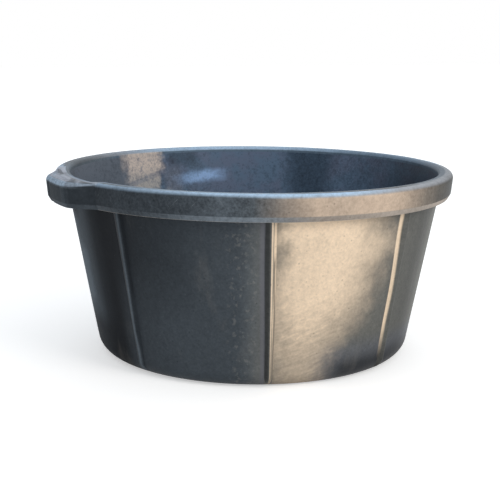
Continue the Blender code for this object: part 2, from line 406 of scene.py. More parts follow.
def rim_mesh():
    inner_height = PAN_HEIGHT - RIM_INNER_ROUND
    inner_centre = (wall_radius(inner_height, WALL_THICKNESS - RIM_INNER_ROUND), inner_height)
    start = (wall_radius(CAP_UNDERSIDE, WALL_THICKNESS), CAP_UNDERSIDE)
    crest = (inner_centre[0], PAN_HEIGHT)
    profile = [start] + rounding(inner_centre, RIM_INNER_ROUND, -CORNER_TURN, 0.0, INNER_ROUND_STEPS)[:-1]
    profile += between(crest, (outer_round_centre()[0], PAN_HEIGHT), CREST_STEPS)
    profile += rounding(outer_round_centre(), RIM_OUTER_ROUND, 0.0, math.pi / 2, OUTER_ROUND_STEPS)
    profile += band_side()
    profile.append((wall_radius(BAND_FOOT, EMBED), BAND_FOOT))
    profile.append((wall_radius(CAP_UNDERSIDE, EMBED), CAP_UNDERSIDE))

    def shape(r, z, angle):
        x, y = r * math.cos(angle), r * math.sin(angle)
        r -= WAVE_DEPTH * wave(x, y, z) * ease(*BAND_FADE, r)
        lug_angle = math.atan2(-y, -x)
        z -= rim_sink(r, z, lug_angle)
        z -= dent(r, lug_angle) * ease(CAP_UNDERSIDE, PAN_HEIGHT, z)
        z -= WAVE_DEPTH * wave(x, y, TOP_WAVE_AT) * ease(CAP_UNDERSIDE, PAN_HEIGHT, z)
        return r, z

    return turned(profile, shape)


def lug_mesh():
    """The lug grows out of the rim's top and the band's face; its hidden side lies inside the band."""
    first, last = LUG_SPAN
    rings = []
    for i in range(round((last - first) / LUG_STEP) + 1):
        lug_angle = first + i * LUG_STEP
        share = lug_share(lug_angle)
        proud = (LUG_PROUD + LUG_SLANT * lug_angle) * share - EMBED * (1 - ease(*LUG_FEATHER, share))
        centre = outer_round_centre(proud)
        outline = [LUG_HIDDEN_TOP]
        outline += between((LUG_ROOT_FADE[0], PAN_HEIGHT), (centre[0], PAN_HEIGHT), LUG_TOP_STEPS)
        outline += rounding(centre, RIM_OUTER_ROUND, 0.0, math.pi / 2, OUTER_ROUND_STEPS)
        outline += band_side(proud) + LUG_HIDDEN_SIDE
        ring = []
        heading = math.pi + lug_angle
        for r, z in outline:
            x, y = r * math.cos(heading), r * math.sin(heading)
            across = min(max((r - LUG_TOP_RADIUS) / max(centre[0] - LUG_TOP_RADIUS, TINY), 0.0), 1.0)
            on_top = ease(CAP_UNDERSIDE, PAN_HEIGHT, z)
            r -= WAVE_DEPTH * wave(x, y, z) * ease(*BAND_FADE, r)
            z -= rim_sink(r, z, lug_angle)
            z -= WAVE_DEPTH * wave(x, y, TOP_WAVE_AT) * on_top
            z -= LUG_DISH * share * ease(*LUG_DISH_START, across) * ease(*LUG_DISH_END, across) * on_top
            z -= dent(r, lug_angle) * on_top
            notch = LUG_NICK[1] * math.exp(-((lug_angle - LUG_NICK[0]) / LUG_NICK_SPREAD) ** 2)
            r -= notch * ease(*LUG_NICK_FADE, across) * share
            z -= LUG_NICK_DROP * notch * ease(*LUG_NICK_FADE, across) * on_top * share
            z -= LUG_ROOT_SINK * (1 - ease(*LUG_ROOT_FADE, r)) * on_top
            ring.append((r * math.cos(heading), r * math.sin(heading), z))
        rings.append(ring)
    return loft(rings)


def rib_mesh(middle, shift, lean, relief):
    """A rib down the wall and round the base corner, its hidden side inside the wall.

    Each station has a place on the wall, the way out of it, the rib's width and share of its height, and how
    far down it is.
    """
    stations = []
    foot_z = corner_point(CORNER_TURN)[1]
    for i in range(RIB_ROWS):
        t = i / RIB_ROWS
        z = BAND_FOOT + EMBED + (foot_z - BAND_FOOT - EMBED) * t
        width = RIB_TOP_WIDTH + (RIB_FOOT_WIDTH - RIB_TOP_WIDTH) * t
        stations.append(((wall_radius(z), z), (1 / math.cos(DRAFT), 0.0), width, 1.0, t))
    for i in range(CORNER_STEPS + 1):
        t = i / CORNER_STEPS
        turn = CORNER_TURN + (RIB_END - CORNER_TURN) * t
        scale = 1 - ease(0, 1, t)
        stations.append((corner_point(turn), (math.sin(turn), -math.cos(turn)),
                         RIB_FOOT_WIDTH * (RIB_TIP_WIDTH + (1 - RIB_TIP_WIDTH) * scale), scale, 1.0))
    rings = []
    for (radius, z), lift, width, scale, down in stations:
        ring = []
        for i in range(RIB_SAMPLES + 1):
            across = (i / RIB_SAMPLES - 0.5) * RIB_SPAN
            left, right = (across + 0.5) / RIB_LEFT_FLANK, (0.5 - across) / RIB_RIGHT_FLANK
            height = RIB_HEIGHT * min(soft_ramp(left, RIB_LEFT_ROUND), soft_ramp(right, RIB_RIGHT_ROUND))
            height += RIB_CROWN * max(1 - ((across - RIB_CROWN_PLACE[0]) / RIB_CROWN_PLACE[1]) ** 2, 0.0)
            sink = RIB_EDGE_SINK if abs(across) > RIB_EDGE else RIB_SINK
            up = height * relief * scale - sink - RIB_TIP_SINK * (1 - scale)
            ring.append(((across + RIB_OFFSET) * width, up))
        ring += [((RIB_OFFSET + side * RIB_SPAN / 2) * width, -RIB_ROOT) for side in (1, -1)]
        points = []
        for across, up in ring:
            angle = middle + math.radians(shift + lean * down) + math.asin(across / radius)
            r = radius + up * lift[0]
            points.append((r * math.cos(angle), r * math.sin(angle), z + up * lift[1]))
        rings.append(points)
    return loft(rings)


def cleared(owner, output):
    """Give a material's or the world's node tree, emptied, and its new output node."""
    owner.use_nodes = True
    owner.node_tree.nodes.clear()
    return owner.node_tree, owner.node_tree.nodes.new(output)


class Graph:
    """A rubber material's nodes, with the places on the pan that its looks depend on."""

    def __init__(self, name):
        self.material = bpy.data.materials.new(name)
        self.tree, output = cleared(self.material, "ShaderNodeOutputMaterial")
        self.shader = self.tree.nodes.new("ShaderNodeBsdfPrincipled")
        self.join(self.shader.outputs["BSDF"], output.inputs["Surface"])
        self.place = self.tree.nodes.new("ShaderNodeTexCoord").outputs["Object"]
        self.normal = self.tree.nodes.new("ShaderNodeNewGeometry").outputs["Normal"]
        self.azimuth = self.angle_of(self.place)
        self.facing = self.angle_of(self.normal)
        split = self.tree.nodes.new("ShaderNodeSeparateXYZ")
        self.join(self.place, split.inputs[0])
        self.height = split.outputs["Z"]
        x, y = split.outputs["X"], split.outputs["Y"]
        self.radius = self.math("SQRT", self.total(self.product(x, x), self.product(y, y)))
        lean = self.tree.nodes.new("ShaderNodeSeparateXYZ")
        self.join(self.normal, lean.inputs[0])
        self.lean = lean.outputs["Z"]

    def join(self, source, socket):
        if hasattr(source, "is_output"):
            self.tree.links.new(source, socket)
        else:
            socket.default_value = source

    def math(self, operation, a, b=0.0, clamp=False):
        node = self.tree.nodes.new("ShaderNodeMath")
        node.operation = operation
        node.use_clamp = clamp
        self.join(a, node.inputs[0])
        self.join(b, node.inputs[1])
        return node.outputs[0]

    def chain(self, operation, terms):
        """Put the terms together one after the other."""
        value = terms[0]
        for term in terms[1:]:
            value = self.math(operation, value, term)
        return value

    def total(self, *terms):
        return self.chain("ADD", terms)

    def product(self, *terms):
        return self.chain("MULTIPLY", terms)

    def most(self, *terms):
        """The greatest of the terms."""
        return self.chain("MAXIMUM", terms)

    def without(self, share):
        """What a share leaves of the whole."""
        return self.math("SUBTRACT", 1.0, share)

    def toward(self, vector, angle):
        """Share of a vector that points to an azimuth."""
        heading = VIEW_TURN - math.pi / 2 + angle
        node = self.tree.nodes.new("ShaderNodeVectorMath")
        node.operation = "DOT_PRODUCT"
        self.join(vector, node.inputs[0])
        node.inputs[1].default_value = (math.cos(heading), math.sin(heading), 0.0)
        return node.outputs["Value"]

    def angle_of(self, vector):
        """Azimuth of a vector, in degrees."""
        turn = self.math("ARCTAN2", self.toward(vector, math.pi / 2), self.toward(vector, 0.0))
        return self.math("DEGREES", turn)

    def step(self, value, low, high):
        """0 at low and 1 at high, with a level start and finish. Low may be the larger."""
        node = self.tree.nodes.new("ShaderNodeMapRange")
        node.interpolation_type = "SMOOTHSTEP"
        self.join(value, node.inputs["Value"])
        if low < high:
            limits = (low, high, 0.0, 1.0)
        else:
            limits = (high, low, 1.0, 0.0)
        for socket, number in zip(("From Min", "From Max", "To Min", "To Max"), limits):
            node.inputs[socket].default_value = number
        return node.outputs["Result"]

    def zone(self, value, low_start, low_full, high_full, high_end):
        """1 between the two full limits, and 0 beyond the start and the end."""
        return self.product(self.step(value, low_start, low_full), self.step(value, high_end, high_full))

    def by_height(self, low, high, amount):
        """An amount that comes in from one height to another."""
        return self.product(self.step(self.height, low, high), amount)

    def levels(self, value, *stops):
        """A level that runs straight from stop to stop; each stop is a (value, level) pair."""
        low, high = stops[0][0], stops[-1][0]
        spread = self.tree.nodes.new("ShaderNodeMapRange")
        self.join(value, spread.inputs["Value"])
        spread.inputs["From Min"].default_value = low
        spread.inputs["From Max"].default_value = high
        node = self.tree.nodes.new("ShaderNodeValToRGB")
        self.join(spread.outputs["Result"], node.inputs["Fac"])
        ends = node.color_ramp.elements
        ends[0].color = (stops[0][1],) * 3 + (1.0,)
        ends[1].color = (stops[-1][1],) * 3 + (1.0,)
        for at, level in stops[1:-1]:
            stop = ends.new((at - low) / (high - low))
            stop.color = (level, level, level, 1.0)
        return node.outputs["Color"]

    def unrolled(self, tilt):
        """Places laid out flat, in metres: round the pan and up, with the upward lines tilted."""
        node = self.tree.nodes.new("ShaderNodeCombineXYZ")
        along = self.product(self.azimuth, METRES_A_DEGREE)
        self.join(along, node.inputs["X"])
        self.join(self.total(self.height, self.product(along, tilt)), node.inputs["Y"])
        return node.outputs["Vector"]

    def noise(self, scale, detail, stretch=(1.0, 1.0, 1.0), shift=0.0, vector=None):
        """Noise from 0 to 1, read at the piece's own places or at those of a vector."""
        mapping = self.tree.nodes.new("ShaderNodeMapping")
        self.join(self.place if vector is None else vector, mapping.inputs["Vector"])
        mapping.inputs["Scale"].default_value = stretch
        mapping.inputs["Location"].default_value = (shift, shift, shift)
        node = self.tree.nodes.new("ShaderNodeTexNoise")
        self.join(mapping.outputs["Vector"], node.inputs["Vector"])
        node.inputs["Scale"].default_value = scale
        node.inputs["Detail"].default_value = detail
        node.inputs["Roughness"].default_value = NOISE_ROUGHNESS
        return node.outputs["Fac"]

    def swing(self, value, amount):
        """A noise value turned into a swing about zero."""
        return self.product(self.math("SUBTRACT", value, 0.5), amount)

    def scratches(self, tilt, shift):
        """Fine scratches along one slope."""
        lines = self.noise(1.0, 2.0, stretch=(45.0, 850.0, 1.0), shift=shift, vector=self.unrolled(tilt))
        return self.step(lines, 0.67, 0.76)

    def specks(self, scale, size):
        """Small round spots."""
        node = self.tree.nodes.new("ShaderNodeTexVoronoi")
        self.join(self.place, node.inputs["Vector"])
        node.inputs["Scale"].default_value = scale
        return self.step(node.outputs["Distance"], size, 0.0)

    def blend(self, factor, first, second):
        """A mix of two colours, each given as three numbers or as another node's output."""
        node = self.tree.nodes.new("ShaderNodeMix")
        node.data_type = "RGBA"
        node.clamp_factor = True
        self.join(factor, node.inputs["Factor"])
        for socket, colour in ((node.inputs[6], first), (node.inputs[7], second)):
            self.join(colour if hasattr(colour, "is_output") else (*colour, 1.0), socket)
        return node.outputs[2]

    def bump(self, height, distance):
        """Add relief to what the shader's normal already has."""
        node = self.tree.nodes.new("ShaderNodeBump")
        node.inputs["Distance"].default_value = distance
        self.join(height, node.inputs["Height"])
        if self.shader.inputs["Normal"].links:
            self.tree.links.new(self.shader.inputs["Normal"].links[0].from_socket, node.inputs["Normal"])
        self.tree.links.new(node.outputs["Normal"], self.shader.inputs["Normal"])


def finish_rubber(graph, layers, rough=0.42, specular=0.06):
    """Black rubber under layers of bloom, dust, wear and painted light and shade, each a (share, colour, unevenness,
    roughness gain).
    """
    fine = graph.noise(FINE_SCALE, 3.0)
    grit = graph.noise(GRIT_SCALE, 2.0, shift=7.0)
    mottle = graph.noise(MOTTLE_SCALE, 4.0, shift=2.0)
    slow = graph.noise(SLOW_SCALE, 5.0, shift=5.0)
    uneven = graph.total(graph.swing(slow, 0.35), graph.swing(mottle, 0.50), graph.swing(grit, 0.55),
                         graph.swing(fine, 0.25))
    colour = RUBBER
    roughness = graph.total(rough, graph.swing(mottle, 0.12), graph.swing(grit, 0.08))
    for share, tone, unevenness, gain in layers:
        share = graph.product(share, graph.total(1.0, graph.product(uneven, unevenness)))
        share = graph.math("MAXIMUM", share, 0.0, True)
        colour = graph.blend(share, colour, tone)
        roughness = graph.total(roughness, graph.product(share, gain))
    pits = graph.product(graph.specks(PIT_SCALE, 0.24), graph.step(mottle, 0.47, 0.62), 0.42)
    colour = graph.blend(pits, colour, RUBBER)
    flecks = graph.product(graph.specks(FLECK_SCALE, 0.17), graph.step(grit, 0.55, 0.68), 0.25)
    colour = graph.blend(flecks, colour, FLECK)
    graph.join(colour, graph.shader.inputs["Base Color"])
    graph.join(graph.math("MINIMUM", roughness, ROUGHEST), graph.shader.inputs["Roughness"])
    graph.shader.inputs["Specular IOR Level"].default_value = specular
    graph.bump(fine, FINE_RELIEF)
    graph.bump(mottle, MOTTLE_RELIEF)


def rib_dust_and_sunlight(g):
    """Painted sunlight, mottled like dust, along the left flank of the rib to the right of the middle rib, which
    leans and grows narrower downward.
    """
    lean = g.total(g.by_height(0.235, 0.12, 1.5), g.by_height(0.09, 0.03, 0.3))
    along = g.math("SUBTRACT", g.azimuth, lean)
    narrower = g.total(along, g.by_height(0.21, 0.13, 0.40))
    return g.product(g.step(along, 45.8, 46.3), g.step(narrower, 47.8, 47.2), g.step(g.height, 0.020, 0.085), 0.84)


def rib_crease_shade(g):
    """1 away from the middle rib's right foot, and less in the painted shade of the crease there."""
    along = g.math("SUBTRACT", g.azimuth, g.by_height(0.17, 0.10, 0.5))
    crease = g.product(g.zone(along, 5.55, 5.85, 6.15, 6.45), g.step(g.height, 0.205, 0.185), 0.75)
    return g.without(crease)


def rib_foot_highlight(g):
    """A thin pale line of painted highlight along the middle rib's left foot."""
    along = g.math("SUBTRACT", g.azimuth, g.by_height(0.22, 0.03, 0.8))
    return g.product(g.zone(along, 1.4, 2.4, 3.0, 3.4), 0.75)


def cover_material():
    g = Graph("cover_rubber_looks")
    blotch = g.noise(13, 6.0, shift=8.0)
    patch = g.noise(55, 5.0, shift=1.0)
    azimuth = g.total(g.azimuth, g.swing(blotch, 13.0), g.swing(patch, 9.0))
    # Bloom, its amount round the pan and up the wall painted to the light and shade that fell there
    shade = g.levels(g.azimuth, (-180, 0.62), (-110, 0.58), (-84, 0.60), (-75, 1.00), (-70, 0.60), (-62, 0.45),
                     (-56, 0.10), (-50, 0.02), (-45, 0.03), (-38, 0.13), (-25, 0.28), (-18, 0.38), (-10, 0.48),
                     (-4, 0.52), (1, 0.84), (5, 0.90), (44, 0.80), (54, 0.66), (60, 0.50), (66, 0.62), (72, 0.95),
                     (80, 0.80), (110, 0.70), (180, 0.62))
    lower = g.product(g.zone(g.azimuth, -49, -42, -30, -6), g.step(g.height, 0.20, 0.06), 0.24)
    far_left = g.product(g.zone(g.azimuth, -80, -74, -68, -62), g.zone(g.height, 0.085, 0.105, 0.16, 0.19), 0.45)
    # Painted shade: less bloom low on the wall and under the band
    foot_left = g.product(g.step(g.height, 0.09, 0.05), g.zone(g.azimuth, -110, -84, -54, -46), 0.85)
    under_band = g.product(g.step(g.height, 0.212, 0.235), g.zone(g.azimuth, -100, -84, -70, -64), 0.75)
    foot_right = g.product(g.step(g.height, 0.050, 0.020), g.zone(g.azimuth, 22, 34, 74, 96), 0.75)
    film = g.product(g.total(shade, g.total(lower, far_left)), g.without(g.most(foot_left, foot_right, under_band)))
    tint = g.blend(g.step(g.azimuth, -6, 8), BLOOM, PALE_BLOOM)
    # a bluer tint of bloom in the painted shade at the foot
    right_foot = g.product(g.step(g.height, 0.075, 0.04), g.zone(g.azimuth, 14, 28, 74, 96))
    tint = g.blend(right_foot, tint, FOOT_SHADE_BLOOM)

    # Painted sunlight, mottled like dust, runs from the middle rib to a ragged end that lies further right higher up;
    # a strip of painted shade lies along the rib's right side
    reach = g.total(24.0, g.by_height(0.010, 0.165, 12.0),
                    g.product(g.zone(g.height, 0.17, 0.20, 0.208, 0.232), 4.0))
    softness = g.total(6.0, g.by_height(0.02, 0.10, 7.0))
    past = g.math("DIVIDE", g.math("SUBTRACT", azimuth, reach), softness)
    shaded_strip_width = g.total(6.5, g.product(g.zone(g.height, 0.14, 0.165, 0.20, 0.22), 2.5),
                         g.by_height(0.21, 0.23, -0.9))
    shaded_strip_depth = g.total(g.by_height(0.12, 0.20, 0.40), g.by_height(0.05, 0.03, 0.12), 0.34)
    from_rib = g.math("DIVIDE", g.math("SUBTRACT", azimuth, 6.0), shaded_strip_width)
    shaded_strip = g.product(g.step(from_rib, 1.0, 0.0), shaded_strip_depth)
    rise = g.total(g.height, g.swing(g.noise(18, 5.0, shift=3.0), 0.030))
    cover = g.total(0.34, g.product(g.step(rise, 0.0, 0.15), 0.53), g.by_height(0.21, 0.235, 0.09))
    streaks = g.noise(48, 4.0, stretch=(1.0, 4.2, 1.0), shift=6.0, vector=g.unrolled(-0.30))
    streaked = g.total(1.0, g.product(g.swing(streaks, 1.1), g.step(g.height, 0.17, 0.06)))
    dust_and_sunlight = g.product(g.step(g.azimuth, 4.4, 5.4), g.without(shaded_strip), g.step(past, 1.0, -1.0), cover, streaked,
                     rib_crease_shade(g))

    rough = g.total(0.42, g.product(g.step(g.azimuth, -38, -54), 0.25))
    scuffs = g.product(g.step(g.noise(26, 6.0, stretch=(1.0, 1.0, 0.3), shift=12.0), 0.57, 0.74), 0.06)
    spots = g.step(g.noise(130, 5.0, shift=5.0), 0.54, 0.68)
    spatter = g.product(g.zone(g.azimuth, -10, -4, 0.5, 2.0), spots, 0.12)
    finish_rubber(g, [(film, tint, 1.0, 0.10), (g.most(scuffs, spatter), SCUFF, 0.8, 0.15),
                      (dust_and_sunlight, DUST_AND_SUNLIGHT, 0.8, 0.25), (rib_dust_and_sunlight(g), DUST_AND_SUNLIGHT, 0.5, 0.25),
                      (rib_foot_highlight(g), LINE_HIGHLIGHT, 0.8, 0.10)], rough)
    return g.material


def rib_material():
    g = Graph("rib_rubber_looks")
    # Bloom by the way each surface faces: painted light and shade on the ribs' flanks
    by_facing = g.levels(g.facing, (-180, 0.62), (-100, 0.5), (-60, 0.10), (-36, 0.32), (-20, 0.36), (-8, 0.60),
                         (0, 0.85), (50, 0.65), (90, 0.7), (180, 0.62))
    by_facing = g.most(by_facing, g.product(g.step(g.azimuth, -66, -74), 0.65))
    # Painted shade at the foot of the rib at about 46 degrees
    dark_foot = g.product(g.step(g.height, 0.055, 0.025), g.zone(g.azimuth, 40, 42, 56, 58), 0.45)
    by_facing = g.product(by_facing, g.without(dark_foot))
    left_rib = g.zone(g.azimuth, -47, -46, -34, -32)
    across = g.total(g.azimuth, g.by_height(0.075, 0.03, -0.4))
    # Bloom with a thin painted highlight along the crown of the rib at about -41 degrees
    left_rib_film_and_highlight = g.levels(across, (-46, 0.10), (-43.0, 0.12), (-42.6, 0.15), (-41.6, 0.08), (-41.2, 0.22),
                         (-40.85, 0.62), (-40.45, 0.66), (-40.1, 0.26), (-39.8, 0.10), (-36, 0.10))
    left_rib_film_and_highlight = g.product(left_rib_film_and_highlight, g.total(1.0, g.by_height(0.20, 0.10, 0.40)))
    left_rib_film_and_highlight = g.most(left_rib_film_and_highlight, g.by_height(0.17, 0.10, 0.24))
    film = g.total(g.product(left_rib_film_and_highlight, left_rib), g.product(by_facing, g.without(left_rib)))
    # Painted sunlight on the middle rib, mottled like dust, with a line of painted shade where the crown turns into
    # the right flank
    middle_rib = g.product(g.step(g.azimuth, -4, 0), g.step(g.azimuth, 20, 14))
    turn_line = g.product(g.zone(g.facing, 10, 20, 34, 44), 0.70)
    lit_middle = g.product(middle_rib, g.step(g.facing, 2.0, 4.2), g.without(turn_line),
                           g.total(0.45, g.by_height(0.01, 0.12, 0.40)), rib_crease_shade(g))
    tint = g.blend(g.step(g.azimuth, -6, 8), BLOOM, PALE_BLOOM)
    finish_rubber(g, [(film, tint, 1.0, 0.10), (g.most(lit_middle, rib_dust_and_sunlight(g)), DUST_AND_SUNLIGHT, 0.5, 0.25),
                      (rib_foot_highlight(g), LINE_HIGHLIGHT, 0.8, 0.10)])
    return g.material


def lug_top(g):
    """Level of wear on the top beside and on the lug: painted shade keeps a slanting hollow, a ridge and a spot
    darker.
    """
    azimuth = g.total(g.azimuth, g.swing(g.noise(34, 4.0, shift=8.0), 4.0))
    radius = g.total(g.radius, g.swing(g.noise(46, 4.0, shift=3.0), 0.006))
    slanting = g.math("SUBTRACT", azimuth, g.product(g.math("SUBTRACT", radius, 0.303), 300.0))
    hollows = g.levels(slanting, (-90, 0.85), (-62.5, 0.85), (-60.5, 0.32), (-58.5, 0.18), (-57, 0.45), (-55.5, 0.62),
                       (-54.3, 0.28), (-52.5, 0.08), (-50.5, 0.12), (-49, 0.38), (-47, 0.75), (-40, 0.75))
    spot = g.product(g.zone(azimuth, -80, -77, -71.5, -69), g.zone(radius, 0.299, 0.301, 0.304, 0.308), 0.65)
    inner = g.product(g.step(g.radius, 0.303, 0.298), g.step(g.azimuth, -75, -72), 0.45)
    level = g.product(hollows, g.without(spot), g.without(inner))
    return g.most(level, g.product(g.step(g.radius, 0.301, 0.298), 0.40))


def inner_warm_reflection(g, around):
    """A ragged patch of painted warm reflection, mottled like dust, high on the inside; gives its level and its
    colour.
    """
    ragged = g.total(around, g.swing(g.noise(42, 5.0, stretch=(1.0, 1.0, 0.6), shift=11.0), 13.0))
    break_line = g.total(g.height, g.product(g.math("SUBTRACT", around, 217.0), 0.0011))
    spots = g.product(g.step(g.noise(75, 4.0, shift=5.0), 0.54, 0.64), 0.45)
    gap = g.product(g.zone(break_line, 0.238, 0.242, 0.247, 0.251), 0.45)
    patch = g.product(g.zone(ragged, 214.0, 218.5, 228.0, 236), g.step(g.height, 0.160, 0.210), g.without(spots),
                      g.without(gap), 0.88)
    return patch, g.blend(g.step(g.height, 0.225, 0.262), WARM_REFLECTION_LOW, WARM_REFLECTION_HIGH)


def wrapped(g, value):
    """An azimuth that runs from 0 to 360."""
    around = g.math("WRAP", value, 360.0)
    around.node.inputs[2].default_value = 0.0
    return around


def rim_material():
    g = Graph("rim_rubber_looks")
    azimuth = g.total(g.azimuth, g.swing(g.noise(20, 5.0, shift=8.0), 7.0))
    tint = g.blend(g.step(g.azimuth, -6, 20), BLOOM, PALE_BLOOM)

    # Where the band, its top, its inner side and its chamfer are
    outer = g.step(g.radius, 0.296, 0.299)
    inner_side = g.without(outer)
    narrow = g.levels(g.azimuth, (-180, 0.0), (-60, 0.08), (-32, 0.10), (-16, 0.22), (-4, 0.20), (6, 0.05),
                      (30, 0.0), (180, 0.0))
    lean = g.math("SUBTRACT", g.lean, narrow)
    crest = g.product(outer, g.step(lean, 0.20, 0.85))
    inner = g.product(inner_side, g.step(g.lean, 0.20, 0.48))
    flat = g.step(g.lean, 0.955, 0.995)
    chamfer = g.step(g.lean, -0.15, -0.4)
    face_only = g.without(g.most(crest, inner, g.product(chamfer, 0.8)))
    by_lug = g.product(g.step(g.radius, 0.2925, 0.2945), g.zone(g.azimuth, -86, -82, -50, -44))

    # Bloom with painted light and shade, painted sunlight mottled like dust, and a painted warm reflection inside
    # Bloom on the band's face, its amount round the pan painted to the light and shade
    side = g.levels(g.azimuth, (-180, 0.62), (-120, 0.58), (-70, 0.30), (-50, 0.28), (-44, 0.22), (-38, 0.32),
                    (-14, 0.44), (-8, 0.70), (-2, 0.66), (5, 0.75), (46, 0.60), (58, 0.40), (66, 0.25), (85, 0.55),
                    (120, 0.62), (180, 0.62))
    side = g.product(side, outer, g.without(g.product(flat, 0.85)))
    # Bloom on the inner side, its amount round the pan and its blue tint painted sky reflection
    lining = g.levels(g.azimuth, (-180, 1.0), (-150, 1.0), (-140, 0.75), (-122, 0.92), (-108, 0.60), (-98, 0.48),
                      (-86, 0.64), (-74, 0.25), (-66, 0.75), (-50, 0.95), (-46, 0.40), (84, 0.42), (110, 0.46),
                      (122, 0.80), (165, 0.85), (180, 1.0))
    left_round = g.product(g.zone(g.azimuth, -128, -112, -74, -66), g.step(g.lean, 0.20, 0.50), 0.55)
    lining = g.product(lining, inner_side, g.without(left_round))
    lining_tint = g.blend(g.zone(g.azimuth, -130, -116, -74, -66), BACK_LINING, LEFT_LINING)
    # Painted sunlight on the band, mottled like dust
    dust_and_sunlight = g.levels(azimuth, (0, 0.0), (5, 0.10), (10, 0.28), (16, 0.55), (22, 0.46), (28, 0.54), (36, 0.54),
                    (41, 0.45), (46, 0.26), (52, 0.12), (60, 0.04), (70, 0.0))
    # A painted warm reflection high on the inner side
    patch, patch_tint = inner_warm_reflection(g, wrapped(g, g.azimuth))
    patch = g.product(patch, inner_side, g.step(g.lean, 0.60, 0.30))

    # Wear with painted sky sheen on the outer rounding, the flat top and the inner rounding, and painted reflected
    # light on the foot
    edge = g.levels(azimuth, (-180, 0.60), (-90, 0.45), (-60, 0.50), (-46, 0.52), (-38, 0.42), (-32, 0.52),
                    (-21, 0.70), (-9, 0.96), (4, 0.88), (27, 0.86), (36, 0.92), (48, 0.88), (60, 0.68), (70, 0.52),
                    (90, 0.45), (180, 0.60))
    top = g.levels(azimuth, (-180, 0.40), (-94, 0.10), (-84, 0.60), (-50, 0.20), (-44, 0.05), (-36, 0.06),
                   (-28, 0.35), (-12, 0.45), (2, 0.60), (12, 0.25), (28, 0.04), (42, 0.06), (52, 0.55), (90, 0.50),
                   (180, 0.40))
    inside = g.levels(azimuth, (-180, 0.66), (-164, 0.74), (-152, 0.62), (-140, 0.68), (-128, 0.62), (-116, 0.36),
                      (-104, 0.12), (-96, 0.08), (-70, 0.06), (-50, 0.30), (84, 0.08), (100, 0.16), (120, 0.20),
                      (136, 0.15), (148, 0.27), (160, 0.50), (180, 0.66))
    # Wear and painted reflected light on the chamfer, warmer with painted sunlight on the right
    foot = g.levels(g.azimuth, (-180, 0.45), (-60, 0.12), (-44, 0.10), (-38, 0.02), (-28, 0.06), (-18, 0.26),
                    (0, 0.45), (30, 0.62), (38, 0.95), (50, 0.70), (62, 0.95), (80, 0.50), (180, 0.45))
    chamfer_tint = g.blend(g.step(g.azimuth, 0, 20), CHAMFER_WEAR_AND_SHEEN, CHAMFER_DUST_AND_SUNLIGHT)
    # A line of painted reflected light along the band's underside
    foot_line_sheen = g.product(g.zone(g.lean, -0.99, -0.90, -0.66, -0.56), g.zone(g.azimuth, -60, -44, 60, 80), 0.60)
    level = g.total(g.product(edge, crest, g.without(flat)), g.product(top, crest, flat),
                    g.product(inside, inner, g.without(g.product(flat, 0.35))))
    level = g.total(g.product(level, g.without(by_lug)), g.product(lug_top(g), by_lug, g.step(g.lean, 0.3, 0.7)))
    grey = g.most(g.zone(g.azimuth, 20, 44, 90, 110), g.zone(g.azimuth, -152, -124, -98, -84))
    # Wear with painted sky sheen, greyer at the sides, and the lug's worn tone beside the lug
    wear_and_sheen = g.blend(by_lug, g.blend(grey, WORN_EDGE_AND_SKY_SHEEN, WORN_EDGE_AND_GREY_SHEEN), LUG_WORN)
    scratched = g.product(g.most(g.scratches(1.6, 3.0), g.scratches(-1.1, 7.0)),
                          g.step(g.noise(9, 2.0, shift=6.0), 0.42, 0.58), g.step(g.lean, 0.35, 0.15), 0.22)

    finish_rubber(g, [(side, tint, 2.6, 0.10), (lining, lining_tint, 1.3, 0.10),
                      (g.product(dust_and_sunlight, face_only), BAND_DUST_AND_SUNLIGHT, 0.8, 0.25),
                      (g.product(foot, chamfer), chamfer_tint, 1.4, 0.15), (foot_line_sheen, FOOT_LINE_SHEEN, 1.6, 0.20),
                      (g.product(scratched, outer), SCRATCH, 0.5, 0.0), (patch, patch_tint, 2.0, 0.25),
                      (level, wear_and_sheen, 1.2, 0.05)], rough=0.42, specular=0.05)
    return g.material


def lug_material():
    g = Graph("lug_rubber_looks")
    lean = g.math("SUBTRACT", g.lean, g.product(g.step(g.azimuth, -51.5, -46.5), 0.34))
    top = g.step(lean, 0.04, 0.36)
    ramp = g.step(g.facing, -44, -32)
    # Wear on the top, and wear with painted sky sheen on its rounded edge
    round_edge = g.product(g.step(g.lean, 0.98, 0.86), g.total(0.84, g.product(ramp, -0.28)))
    wear_and_sheen = g.blend(round_edge, LUG_WORN, LUG_ROUND_WEAR_AND_SHEEN)
    level = g.product(top, g.most(lug_top(g), round_edge))
    # Bloom on the sides, its amount painted light and shade by the way they face
    corner = g.product(g.zone(g.azimuth, -55.5, -54.0, -52.2, -51.4), 0.12)
    side = g.total(g.product(g.without(ramp), 0.06), 0.24, corner,
                   g.product(g.zone(g.lean, -0.05, 0.0, 0.06, 0.2), g.step(g.azimuth, -48, -52), 0.35))
    # Wear and painted reflected light on the chamfer
    chamfer = g.step(g.lean, -0.2, -0.5)
    side = g.product(side, g.without(g.product(chamfer, g.step(g.azimuth, -58, -66), 0.6)))
    finish_rubber(g, [(side, BLOOM, 1.4, 0.10), (g.product(chamfer, 0.10), CHAMFER_WEAR_AND_SHEEN, 1.4, 0.15),
                      (level, wear_and_sheen, 2.5, 0.05)], rough=0.60, specular=0.04)
    return g.material


